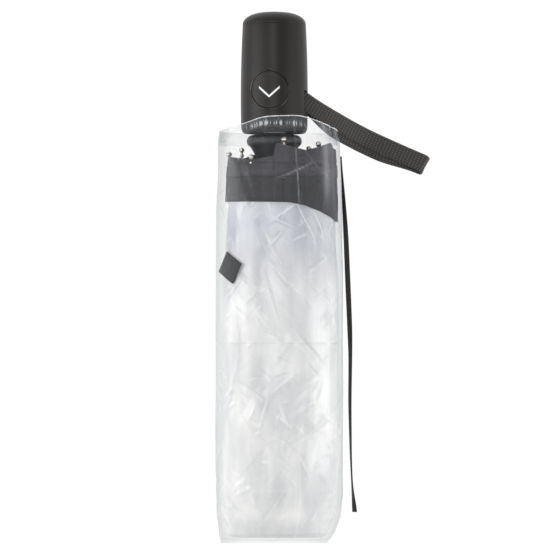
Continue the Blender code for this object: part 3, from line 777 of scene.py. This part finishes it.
def clear_film(
    name, hex_colour, deep_colour, facing, grazing, creased, roughness, patch_scale, patch
):
    """Soft PVC film: see-through face on, milkier at a slant, and white along its creases, partly
    stress whitening and partly a painted highlight.

    facing and grazing are how solid it looks face on and at a slant, creased what a crease
    adds and patch what its thin patches take away.  deep_colour shows toward the border."""
    made, tree, shader = new_material(name, hex_colour, roughness, IOR=1.53)
    crease_whitening_and_glint = add_node(tree, "ShaderNodeAttribute", {"attribute_name": "crease"})
    coordinates = add_node(tree, "ShaderNodeTexCoord")
    drawn_out = add_node(
        tree,
        "ShaderNodeMapping",
        links={"Vector": coordinates.outputs["Object"], "Scale": (1.5, 0.45, 1.5)},
    )
    bloom = add_node(
        tree,
        "ShaderNodeTexNoise",
        links={"Vector": drawn_out.outputs["Vector"], "Scale": patch_scale, "Detail": 6.0},
    )
    layers_seen = add_node(
        tree,
        "ShaderNodeMapRange",
        links={"Value": bloom.outputs["Fac"], "From Min": 0.62, "From Max": 0.40, "To Max": 0.3},
    )
    place = add_node(tree, "ShaderNodeSeparateXYZ", links={"Vector": coordinates.outputs["Object"]})
    toward_border = add_node(
        tree,
        "ShaderNodeMapRange",
        {"interpolation_type": "SMOOTHSTEP"},
        {"Value": place.outputs["Y"], "From Min": -0.030, "From Max": 0.045, "To Max": 0.7},
    )
    depth = add_node(
        tree,
        "ShaderNodeMath",
        {"operation": "ADD", "use_clamp": True},
        {0: layers_seen.outputs["Result"], 1: toward_border.outputs["Result"]},
    )
    mottled = two_tone(tree, depth.outputs["Value"], hex_colour, deep_colour)
    # the crease share paints each fold line white: stress whitening, and a painted highlight for its
    # glint
    film_tone_and_glint = two_tone(tree, crease_whitening_and_glint.outputs["Fac"], mottled, "#F8F9FA")
    tree.links.new(film_tone_and_glint, shader.inputs["Base Color"])
    slant = add_node(tree, "ShaderNodeLayerWeight", links={"Blend": 0.35})
    by_slant = spread(tree, slant.outputs["Facing"], facing, grazing)
    lines = add_node(
        tree,
        "ShaderNodeMath",
        {"operation": "MULTIPLY_ADD"},
        {0: crease_whitening_and_glint.outputs["Fac"], 1: creased, 2: by_slant},
    )
    patches = add_node(
        tree,
        "ShaderNodeMapRange",
        links={
            "Value": bloom.outputs["Fac"],
            "From Min": 0.3,
            "From Max": 0.7,
            "To Min": 1.0 - patch,
            "To Max": 1.0,
        },
    )
    solid = add_node(
        tree,
        "ShaderNodeMath",
        {"operation": "MULTIPLY", "use_clamp": True},
        {0: lines.outputs["Value"], 1: patches.outputs["Result"]},
    )
    tree.links.new(solid.outputs["Value"], shader.inputs["Alpha"])
    sheen = spread(tree, bloom.outputs["Fac"], roughness * 0.6, roughness * 1.6)
    tree.links.new(sheen, shader.inputs["Roughness"])
    return made


# plasticised PVC: clear as one sheet, milky where many layers lie on each other
canopy_pvc = clear_film(
    "plasticised_pvc_folded", "#FFFFFD", "#C2C6D0", 0.84, 0.99, 0.20, 0.22, 60.0, 0.12
)
canopy.data.materials.append(canopy_pvc)
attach(canopy, "canopy_frame")
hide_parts("canopy_film")


# Border: black polyester woven tape, folded over the film's edge in panels between the tips
# and sewn down with two rows.  Where the bundle is wound, each panel overlaps the next.
BORDER_TOP = (
    # x, height of the top edge
    (-0.0290, 0.0670),
    (-0.0266, 0.0686),
    (-0.0120, 0.0668),
    (-0.0005, 0.0688),
    (0.0004, 0.0750),
    (0.0020, 0.0758),
    (0.0180, 0.0719),
    (0.0250, 0.0738),
    (0.0325, 0.0764),
    (0.0345, 0.0730),
)
BORDER_FOOT = (
    (-0.0290, 0.0436),
    (0.0080, 0.0430),
    (0.0170, 0.0412),
    (0.0256, 0.0380),
    (0.0320, 0.0346),
    (0.0360, 0.0320),
)
BORDER_STEPS = 360
BORDER_ROWS = 110
BORDER_R = (0.0315, 0.0196)  # across, upward
FOLD_Y = 0.0562  # where the doubled hem begins
SEAM_X = 0.0048
FRONT_LAP_X = 0.0002  # where one panel laps over the next


def ridge(offset, half_width):
    """One at the middle of a narrow ridge, falling to nothing at its sides."""
    return np.exp(-((offset / half_width) ** 2))


turn = np.arange(BORDER_STEPS) * 2 * math.pi / BORDER_STEPS
across_x = canopy_x + 0.0010 + BORDER_R[0] * np.cos(turn)
is_front = np.sin(turn) > 0
top_edge = stations(across_x, BORDER_TOP)[0]
foot_edge = stations(across_x, BORDER_FOOT)[0]
back_top = 0.0690 + 0.0030 * np.abs(np.sin(2.0 * turn))
turned_up = smoothstep(-0.95, -0.60, np.sin(turn))
share = np.linspace(0, 1, BORDER_ROWS)[:, None]
edge_top = back_top + (top_edge - back_top) * turned_up
edge_foot = 0.0400 + (foot_edge - 0.0400) * turned_up
along = edge_top + (edge_foot - edge_top) * share
lap = 0.0007 * smoothstep(-0.0004, 0.0006, across_x) * is_front
lap = lap - 0.0006 * smoothstep(0.0180, 0.0188, across_x) * is_front
hem_step = 0.00035 * smoothstep(0.0570, 0.0574, along)
hem_step = hem_step - 0.0003 * ridge(along - 0.0645 - 0.01 * across_x, 0.0005)
seam = -0.0005 * ridge(across_x - SEAM_X, 0.0004) * (along < FOLD_Y) * is_front
ripple, _ = creases(
    np.broadcast_to(turn * 0.026, along.shape),
    along,
    2 * math.pi * 0.026,
    31,
    ((22, 0.012, 0.0022, 0.0006, 12), (40, 0.005, 0.0012, 0.0003, 40)),
)
pinch = 0.0016 * (1 - share) ** 2
lift = lap + hem_step + seam + ripple - pinch
# the band is lighter above the hem's fold line, at 0.058, than below it, and gets lighter toward the
# right, a painted glare of the pouch film over the band
tone_with_glare_and_shade = 0.42 + 0.28 * smoothstep(0.0560, 0.0580, along) + 0.20 * smoothstep(0.0045, 0.0300, across_x)
tone_with_glare_and_shade = tone_with_glare_and_shade - 0.10 * (across_x < FRONT_LAP_X) * (along < 0.0570)
STITCHED_ROWS = (
    # height, climb across the border, how much darker
    (0.0574, 0.0, 0.5),
    (0.0648, -0.05, 0.35),
    (0.0605, 0.03, -0.25),
    (0.0448, -0.02, 0.2),
)
for line_y, drift, depth in STITCHED_ROWS:
    tone_with_glare_and_shade = tone_with_glare_and_shade - depth * ridge(along - line_y - drift * across_x, 0.0004)
tone_with_glare_and_shade = tone_with_glare_and_shade - 0.5 * ridge(across_x - SEAM_X, 0.0006) * (along < FOLD_Y)
# painted glare: the pouch film's reflection lightens the band's upper right end
tone_with_glare_and_shade = 0.45 * tone_with_glare_and_shade + 0.5 * smoothstep(0.0245, 0.0350, across_x) * smoothstep(0.034, 0.060, along)
tone_with_glare_and_shade = tone_with_glare_and_shade - 0.35 * ridge(along - edge_foot, 0.0006)
# a thin painted shadow under the edge where one panel laps over the next
tone_with_glare_and_shade = tone_with_glare_and_shade - 0.3 * ridge(across_x + FRONT_LAP_X, 0.0004) * (along > 0.0600)
border_points = np.stack(
    [
        across_x + lift * np.cos(turn),
        along,
        shaft_z + (BORDER_R[1] + lift) * np.sin(turn),
    ],
    -1,
)
border = link_mesh(
    "canopy_border_tape",
    border_points.reshape(-1, 3),
    grid_faces(BORDER_ROWS, BORDER_STEPS, False, True),
)
set_share(border, "cloth_tone_with_painted_light", tone_with_glare_and_shade)
solid = border.modifiers.new("tape_thickness", "SOLIDIFY")
solid.thickness = 0.0004
solid.offset = -1
# plain-woven polyester, dyed black and dull; the blue-grey patches in its colour are a painted sheen,
# where light rakes the yarns
polyester, tree, shader = new_material("woven_border_polyester", "#1A191D", 0.7, Sheen_Weight=0.2)
yarns = noise(tree, 900.0, 3.0)
mixed = add_node(
    tree, "ShaderNodeMath", {"operation": "MULTIPLY"}, {0: yarns, 1: noise(tree, 70.0, 3.0)}
)
spread_out = add_node(
    tree,
    "ShaderNodeMapRange",
    links={"Value": mixed.outputs["Value"], "From Min": 0.12, "From Max": 0.42},
)
cloth_tone_with_painted_light = two_tone(tree, spread_out.outputs["Result"], "#141316", "#2F2D33")
# the border's tone, with its painted glare and shade, scales the cloth's colour
border_tone_and_painted_light = add_node(tree, "ShaderNodeAttribute", {"attribute_name": "cloth_tone_with_painted_light"})
graded = spread(tree, border_tone_and_painted_light.outputs["Fac"], 0.25, 5.0)
lit_cloth = add_node(
    tree, "ShaderNodeVectorMath", {"operation": "SCALE"}, {0: cloth_tone_with_painted_light, "Scale": graded}
)
tree.links.new(lit_cloth.outputs["Vector"], shader.inputs["Base Color"])
roughen(tree, shader, yarns, 0.4, 0.0001)
border.data.materials.append(polyester)
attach(border, "canopy_frame")
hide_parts("canopy_border")


# Closure strap: a stub of the same clear film welded to the canopy's edge, with a square of
# black webbing on its end that grips when the strap is wound round the folded canopy.
tab_low, tab_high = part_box("closure_tab")
tab_centre = (tab_low + tab_high) / 2
TAB_SIDES = (0.0128, 0.0139)
TAB_TURN = math.radians(61)
TAB_SLOPE = math.radians(42)
TAB_PLACE = (tab_centre.x - 0.0028, tab_centre.y, tab_centre.z - 0.0012)


def laid_sheet(long, wide, rows, columns, bend):
    """A strip in its own plane, long side along Y, its middle at the origin, bent by bend(x, y)."""
    across, along = np.meshgrid(np.linspace(-wide / 2, wide / 2, columns), np.linspace(0, long, rows))
    return np.stack([across, along - long / 2, bend(across, along)], -1)


def on_bundle(points, turn, centre, slope):
    """Turns a strip in its plane, then lays it on the bundle's sloping side."""
    x, y, z = points[..., 0], points[..., 1], points[..., 2]
    turned_x = x * math.cos(turn) - y * math.sin(turn)
    turned_y = x * math.sin(turn) + y * math.cos(turn)
    out_x = turned_x * math.cos(slope) - z * math.sin(slope)
    out_z = turned_x * math.sin(slope) + z * math.cos(slope)
    return np.stack([out_x + centre[0], turned_y + centre[1], out_z + centre[2]], -1)


tab_points = on_bundle(
    laid_sheet(TAB_SIDES[1], TAB_SIDES[0], 14, 14, lambda x, y: -9.0 * y * y),
    TAB_TURN,
    TAB_PLACE,
    TAB_SLOPE,
)
# narrow polyester tape, dyed black, with a close plain weave
black_tape, tree, shader = new_material("woven_black_tape", "#12100F", 0.65, Sheen_Weight=0.1)
threads = noise(tree, 1100.0, 3.0)
tree.links.new(two_tone(tree, threads, "#090807", "#1A1715"), shader.inputs["Base Color"])
roughen(tree, shader, threads, 0.4, 0.0001)
tab = link_mesh("closure_tab_square", tab_points.reshape(-1, 3), grid_faces(14, 14, False, False))
thick = tab.modifiers.new("webbing_thickness", "SOLIDIFY")
thick.thickness = 0.0008
thick.offset = 0
tab.data.materials.append(black_tape)
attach(tab, "canopy_frame")
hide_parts("closure_tab")

STUB = (0.0180, 0.0120)
stub_points = on_bundle(
    laid_sheet(STUB[0], STUB[1], 24, 12, lambda x, y: -30.0 * np.clip(y + 0.004, 0, 1) ** 2 - 0.0006),
    TAB_TURN,
    TAB_PLACE,
    TAB_SLOPE,
)
stub_points += np.array((-0.0052, 0.0036, -0.0042))
stub = link_mesh(
    "closure_strap_stub", stub_points.reshape(-1, 3), grid_faces(24, 12, False, False)
)
stub_pvc = clear_film("plasticised_pvc_strap", "#B4B9BE", "#A4A9B0", 0.16, 0.8, 0.5, 0.2, 60.0, 0.2)
stub.data.materials.append(stub_pvc)
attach(stub, "canopy_frame")
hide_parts("closure_strap")


# Pouch: one tube of clear PVC film, 0.15 mm thick, flat-welded across its far end.  It was
# packed folded, so it keeps long shallow creases, and its slack mouth rides up over the grip.
POUCH_TABLE = (
    # y, half width, half height, centre x, centre z
    (0.0842, 0.0332, 0.0213, 0.0022, 0.0219),
    (0.0790, 0.0345, 0.0219, 0.0025, 0.0221),
    (0.0600, 0.0350, 0.0220, 0.0030, 0.0223),
    (0.0400, 0.0360, 0.0221, 0.0028, 0.0223),
    (0.0000, 0.0362, 0.0221, 0.0028, 0.0223),
    (-0.1200, 0.0362, 0.0220, 0.0028, 0.0222),
    (-0.1330, 0.0352, 0.0208, 0.0024, 0.0211),
    (-0.1420, 0.0330, 0.0176, 0.0016, 0.0179),
    (-0.1465, 0.0314, 0.0125, 0.0006, 0.0129),
    (-0.1486, 0.0306, 0.0055, 0.0002, 0.0060),
    (-0.1498, 0.0302, 0.0010, 0.0, 0.0014),
)
# from the left edge (-1) to the right (1): how far the slack mouth rides up over the grip
LIP = np.array(
    ((-1.0, 0.0), (-0.6, 0.0036), (-0.32, 0.0072), (0.42, 0.0080), (0.75, 0.0042), (1.0, 0.0))
)
POUCH_STEPS = 320
PACKED_FOLD_Y = -0.0356
y = np.r_[np.linspace(-0.1498, -0.1440, 16)[:-1], np.linspace(-0.1440, 0.0842, 270)]
half_width, half_height, pouch_x, pouch_z = stations(y, POUCH_TABLE)


def pouch_shape(around, along, wrap):
    fold, whitening_and_glint = creases(
        around,
        along,
        wrap,
        21,
        (
            (26, 0.045, 0.0040, 0.0008, 22),
            (40, 0.018, 0.0025, 0.0006, 45),
            (50, 0.008, 0.0014, 0.0003, 55),
        ),
    )
    # the panel's packing fold, straight across the front
    across_fold = ridge(along - PACKED_FOLD_Y, 0.0004)
    fold = fold - 0.0002 * across_fold
    # the packing fold's line is whitened too: stress whitening, and a painted highlight
    whitening_and_glint = np.maximum(whitening_and_glint, 0.5 * across_fold * (around < wrap / 2))
    inward = -np.abs(fold) + swell(around, along, wrap, 22, 0.0003, 0.05)
    at_mouth = smoothstep(0.066, 0.082, along)
    inward = inward * (1 - 0.7 * at_mouth)
    spot = np.cos(2 * math.pi * around / wrap)
    lip = np.interp(spot, LIP[:, 0], LIP[:, 1])
    spread = np.hanning(33)[None] / np.hanning(33).sum()
    lip = np.stack([np.roll(lip, k, 1) for k in range(-16, 17)], -1) @ spread[0]
    in_front = smoothstep(0.0, 0.06 * wrap, around) * smoothstep(0.5 * wrap, 0.44 * wrap, around)
    # a hard fold down the right shoulder: its face gets a painted highlight, its foot is dark
    shoulder = smoothstep(0.034, 0.056, along) * in_front
    whitening_and_glint = np.maximum(whitening_and_glint, 0.55 * ridge(spot - 0.78, 0.05) * shoulder)
    inward = inward - 0.0010 * ridge(spot - 0.90, 0.02) * shoulder
    rise = (lip * in_front - 0.0010) * smoothstep(0.060, 0.0842, along)
    return inward - 0.0004, whitening_and_glint, along + rise


pouch, pouch_points = film_tube(
    "pouch_film_tube",
    y,
    half_width,
    half_height,
    pouch_x,
    pouch_z,
    2.5,
    POUCH_STEPS,
    pouch_shape,
)
pouch_pvc = clear_film("clear_pvc_sleeve", "#9BA0A4", "#8E9498", 0.065, 0.60, 0.30, 0.07, 30.0, 0.30)
pouch.data.materials.append(pouch_pvc)
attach(pouch, "pouch")
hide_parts("sleeve_film")


# Mouth hem: the last centimetre of the film, gathered to the grip by heat, so that it stands in tight
# crinkles in front of it. Painted highlights whiten its crinkles and a thin bright lip where the film
# was cut.
HEM_STEPS = 700
HEM_ROWS = 26
turn = np.arange(HEM_STEPS) * 2 * math.pi / HEM_STEPS
cosine = np.cos(turn)
sine = np.sin(turn)
mouth = pouch_points[-1]
mouth_turn = np.arange(POUCH_STEPS) * 2 * math.pi / POUCH_STEPS
closed_turn = np.r_[mouth_turn, 2 * math.pi]
closed_mouth = np.concatenate([mouth, mouth[:1]])
edge = np.stack([np.interp(turn, closed_turn, closed_mouth[:, k]) for k in range(3)], 1)
over_grip = smoothstep(0.0225, 0.0170, np.abs(edge[:, 0] - 0.0010)) * (edge[:, 2] > shaft_z)
down = np.linspace(0, 1, HEM_ROWS)[:, None]
depth = 0.0080 + 0.0010 * over_grip
random = np.random.RandomState(41)
teeth = np.zeros(HEM_STEPS)
TOOTH_HALF = 0.00055
for _ in range(34):
    tooth = np.maximum(0, 1 - np.abs(edge[:, 0] - random.uniform(-0.016, 0.017)) / TOOTH_HALF)
    teeth += tooth * random.uniform(0.4, 1.0)
teeth = np.clip(teeth, 0, 1) * over_grip
band = ridge(down - 0.42 - 6.0 * edge[:, 0], 0.17)
crinkle = -0.0011 * teeth * band * (down > 0.15)
ruck = -0.0004 * np.sin(3.0 * math.pi * down + 260 * edge[:, 0]) * over_grip * band
outward = 0.0004 + crinkle + ruck + 0.0003 * (down < 0.06)
hem_points = np.stack(
    [
        edge[:, 0] + outward * cosine,
        edge[:, 1] + 0.0002 - depth * down,
        edge[:, 2] + outward * sine,
    ],
    -1,
)
hem = link_mesh(
    "pouch_hem_gather", hem_points.reshape(-1, 3), grid_faces(HEM_ROWS, HEM_STEPS, False, True)
)
# painted highlights: the crinkles over the grip, and a thin line along the cut lip
lip_highlight = (down < 0.08) * (edge[:, 2] > shaft_z)
set_share(hem, "crease", teeth * band * 1.2 + lip_highlight)
hem_pvc = clear_film(
    "heat_gathered_pvc_hem", "#9BA0A4", "#8E9498", 0.06, 0.7, 0.80, 0.06, 300.0, 0.5
)
hem.data.materials.append(hem_pvc)
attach(hem, "pouch")
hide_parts("sleeve_hem")


# Side binding: 3 mm black woven tape, tacked down the pouch's edge at its top and hanging
# loose below, so it twists and shows first its face and then its edge.
BINDING_PATH = np.array(
    (
        # y, x, z, twist in degrees from face up
        (0.0690, 0.0372, 0.0240, 84),
        (0.0560, 0.0382, 0.0240, 76),
        (0.0400, 0.0392, 0.0240, 52),
        (0.0240, 0.0402, 0.0238, 30),
        (0.0000, 0.0412, 0.0232, 22),
        (-0.0280, 0.0424, 0.0224, 32),
        (-0.0420, 0.0427, 0.0218, 56),
        (-0.0700, 0.0424, 0.0210, 62),
        (-0.1000, 0.0430, 0.0200, 78),
        (-0.1170, 0.0438, 0.0192, 84),
        (-0.1240, 0.0446, 0.0188, 60),
        (-0.1307, 0.0454, 0.0184, 28),
    )
)
TAPE = (0.0030, 0.0005)  # width, thickness
rows = 260
y = np.linspace(BINDING_PATH[0, 0], BINDING_PATH[-1, 0], rows)
path = [np.interp(-y, -BINDING_PATH[:, 0], BINDING_PATH[:, k]) for k in (1, 2, 3)]
soften = np.hanning(33) / np.hanning(33).sum()
path = [np.convolve(np.pad(p, 16, "edge"), soften, "valid") for p in path]
twist = np.radians(path[2])
# half of the tape's section, in half widths and half thicknesses, a little fuller in the middle
half_rim = np.array(((-1, -1), (-0.5, -1.2), (0, -1.2), (0.5, -1.2), (1, -1)))
rim = np.concatenate([half_rim, -half_rim]) * np.array(TAPE) / 2
across = rim[:, 0][None] * np.cos(twist)[:, None] - rim[:, 1][None] * np.sin(twist)[:, None]
upward = rim[:, 0][None] * np.sin(twist)[:, None] + rim[:, 1][None] * np.cos(twist)[:, None]
tape_points = np.stack(
    [
        path[0][:, None] + across,
        np.broadcast_to(y[:, None], across.shape),
        path[1][:, None] + upward,
    ],
    -1,
)
binding = link_mesh(
    "pouch_side_tape", tape_points.reshape(-1, 3), grid_faces(rows, len(rim), False, True)
)
ends = bmesh.new()
ends.from_mesh(binding.data)
bmesh.ops.holes_fill(ends, edges=ends.edges)
bmesh.ops.recalc_face_normals(ends, faces=ends.faces)
ends.to_mesh(binding.data)
ends.free()
binding.data.materials.append(black_tape)
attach(binding, "pouch")
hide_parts("sleeve_binding")
